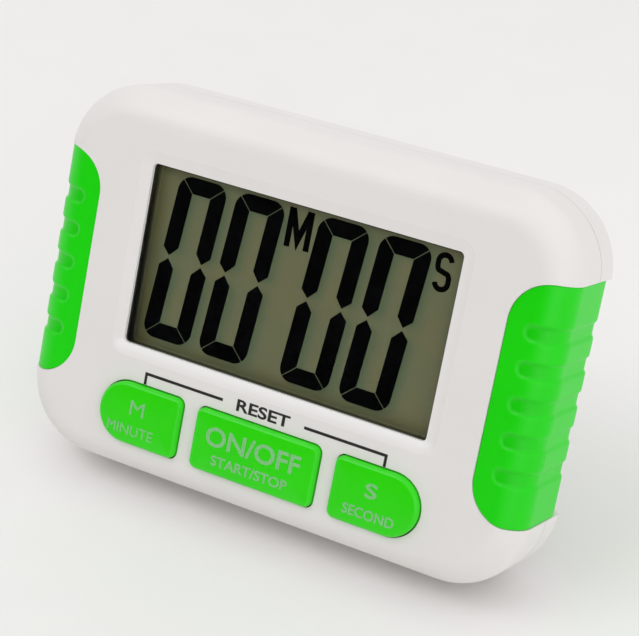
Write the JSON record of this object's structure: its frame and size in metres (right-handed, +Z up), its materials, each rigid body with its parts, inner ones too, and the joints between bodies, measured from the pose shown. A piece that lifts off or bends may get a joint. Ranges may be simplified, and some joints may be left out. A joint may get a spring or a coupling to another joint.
{
  "type": "kitchen timer",
  "caption": "Digital countdown kitchen timer with large number display, green keys and side grips, fold-out stand and magnets on the back.",
  "frame": {"origin": "on the surface the timer stands on, in the middle of its bounding box, with the stand open", "axes": "+X to the right along the face, +Y away from the face towards the stand, +Z up"},
  "size_m": [0.087, 0.0364, 0.0596],
  "materials": {
    "white_shell": "smooth white ABS, satin, finely textured on the back",
    "green_plastic": "bright lime-green plastic, satin",
    "clear_lens": "clear acrylic window",
    "polariser_film": "grey-green polarising film",
    "display_glass": "thin display glass",
    "reflector_film": "silvery grey-green reflecting film",
    "holder_plastic": "white moulded tray",
    "strip_rubber": "pinkish contact rubber with dark conducting core",
    "keypad_silicone": "translucent grey silicone",
    "carbon": "black conductive rubber",
    "board_laminate": "green laminate with solder mask",
    "black_resin": "glossy black resin",
    "tin": "tin-plated metal",
    "nickel": "nickel plate",
    "solder": "shiny grey solder",
    "capacitor_ceramic": "tan ceramic with tinned ends",
    "resistor_ceramic": "black film on white ceramic",
    "ferrite": "dark grey ferrite with copper winding",
    "black_mould": "black moulded package",
    "screw_steel": "zinc-plated steel",
    "sounder_brass": "brass disc",
    "piezo_ceramic": "silvered ceramic",
    "cell_sleeve": "printed sleeve over a metal can",
    "red_insulation": "red insulation",
    "black_insulation": "black insulation"
  },
  "bodies": {
    "case": {"front_case": "white_shell", "rear_case": "white_shell", "left_grip": "green_plastic", "right_grip": "green_plastic", "keypad_mat": "keypad_silicone", "display_window": "clear_lens", "display_polariser": "polariser_film", "display_front_glass": "display_glass", "display_rear_glass": "display_glass", "display_reflector": "reflector_film", "display_holder": "holder_plastic", "display_contact_strip": "strip_rubber", "circuit_board": "board_laminate", "controller_blob": "black_resin", "timing_crystal": "tin", "chip_capacitors": "capacitor_ceramic", "chip_resistors": "resistor_ceramic", "sounder_coil": "ferrite", "sounder_transistor": "black_mould", "board_screws": "screw_steel", "case_screws": "screw_steel", "sounder_plate": "sounder_brass", "sounder_ceramic": "piezo_ceramic", "battery_cell": "cell_sleeve", "positive_contact": "nickel", "negative_contact": "nickel", "battery_spring": "nickel", "left_magnet": "nickel", "right_magnet": "nickel", "supply_wire_black": "black_insulation", "supply_wire_red": "red_insulation", "sounder_wire_red": "red_insulation", "sounder_wire_black": "black_insulation", "solder_joints": "solder"},
    "minute_key": {"minute_key": "green_plastic", "minute_contact_pill": "carbon"},
    "start_stop_key": {"start_stop_key": "green_plastic", "start_stop_contact_pill": "carbon"},
    "second_key": {"second_key": "green_plastic", "second_contact_pill": "carbon"},
    "battery_door": {"battery_door": "white_shell"},
    "support_stand": {"support_stand": "white_shell"}
  },
  "joints": [
    {"name": "minute_key_press", "type": "slide", "parent": "case", "child": "minute_key", "axis": [0, 0.9304, -0.3665], "range_m": [0, 0.0008], "stiffness_N_per_m": 600, "springref_m": -0.0003, "deforming": ["keypad_mat"]},
    {"name": "start_stop_key_press", "type": "slide", "parent": "case", "child": "start_stop_key", "axis": [0, 0.9304, -0.3665], "range_m": [0, 0.0008], "stiffness_N_per_m": 600, "springref_m": -0.0003, "deforming": ["keypad_mat"]},
    {"name": "second_key_press", "type": "slide", "parent": "case", "child": "second_key", "axis": [0, 0.9304, -0.3665], "range_m": [0, 0.0008], "stiffness_N_per_m": 600, "springref_m": -0.0003, "deforming": ["keypad_mat"]},
    {"name": "battery_door_open", "type": "hinge", "parent": "case", "child": "battery_door", "pos_m": [0, 0.01095, 0.03768], "axis": [-1, 0, 0], "range_deg": [0, 80]},
    {"name": "support_stand_fold", "type": "hinge", "parent": "case", "child": "support_stand", "pos_m": [0, 0.00882, 0.03309], "axis": [-1, 0, 0], "range_deg": [0, 36.3]}
  ]
}
